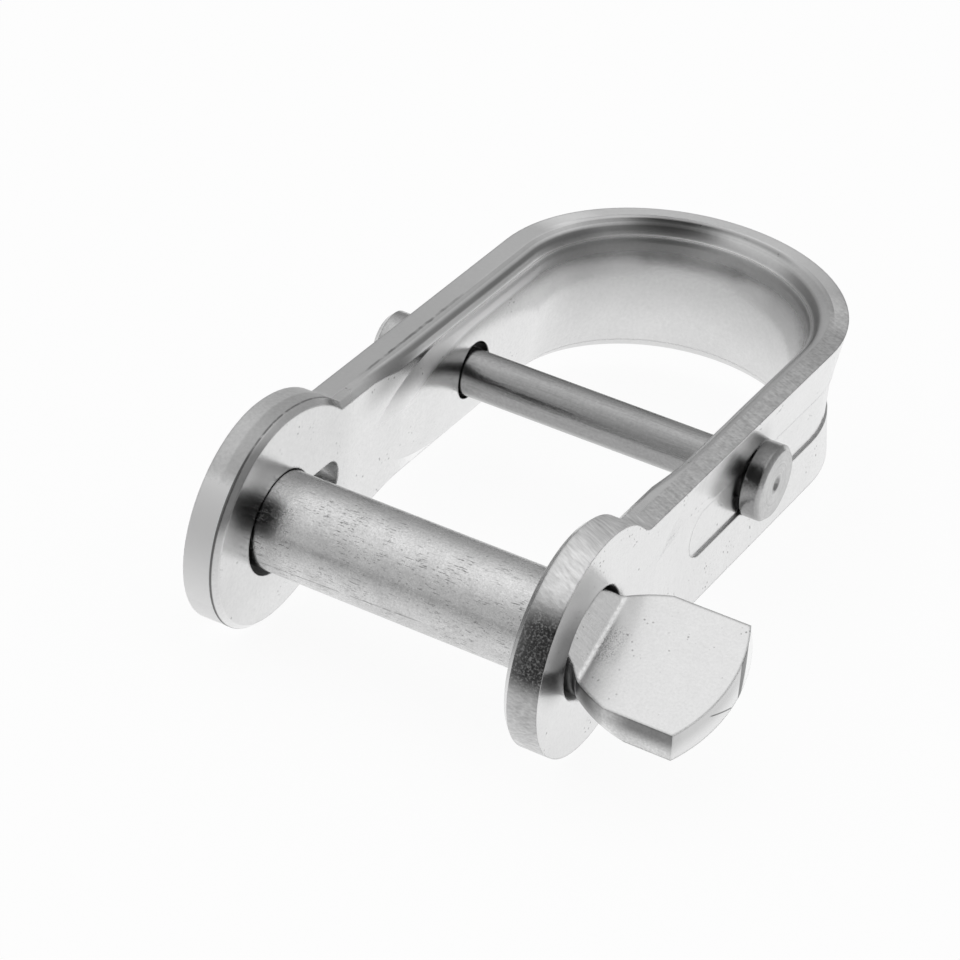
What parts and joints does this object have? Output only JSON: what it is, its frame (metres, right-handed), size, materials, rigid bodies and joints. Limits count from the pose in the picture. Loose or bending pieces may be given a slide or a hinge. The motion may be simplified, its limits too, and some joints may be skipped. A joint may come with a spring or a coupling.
{
  "type": "halyard shackle",
  "caption": "Stamped stainless strip shackle with round ears, a withdrawable key pin with a pressed blade head, a captive crossbar and a rope saddle in its bow.",
  "frame": {"origin": "on the key pin's axis, midway between the two ears", "axes": "+X along the key pin towards its blade head, +Y from the pin to the bow, +Z across the strip's width; the part lies flat on an XY surface"},
  "size_m": [0.0454, 0.0637, 0.0182],
  "materials": {
    "pressed_steel": "satin, with sheared rims",
    "forged_steel": "satin, finely scratched",
    "turned_steel": "drawn shaft, turned heads"
  },
  "bodies": {
    "shackle": {"shackle_body": "pressed_steel"},
    "pin": {"key_pin": "forged_steel"},
    "bar": {"crossbar": "turned_steel"}
  },
  "joints": [
    {"name": "pin_slide", "type": "slide", "parent": "shackle", "child": "pin", "axis": [1, 0, 0], "range_m": [0, 0.027]},
    {"name": "bar_turn", "type": "hinge", "parent": "shackle", "child": "bar", "pos_m": [0, 0.0284, 0], "axis": [1, 0, 0], "continuous": true}
  ]
}
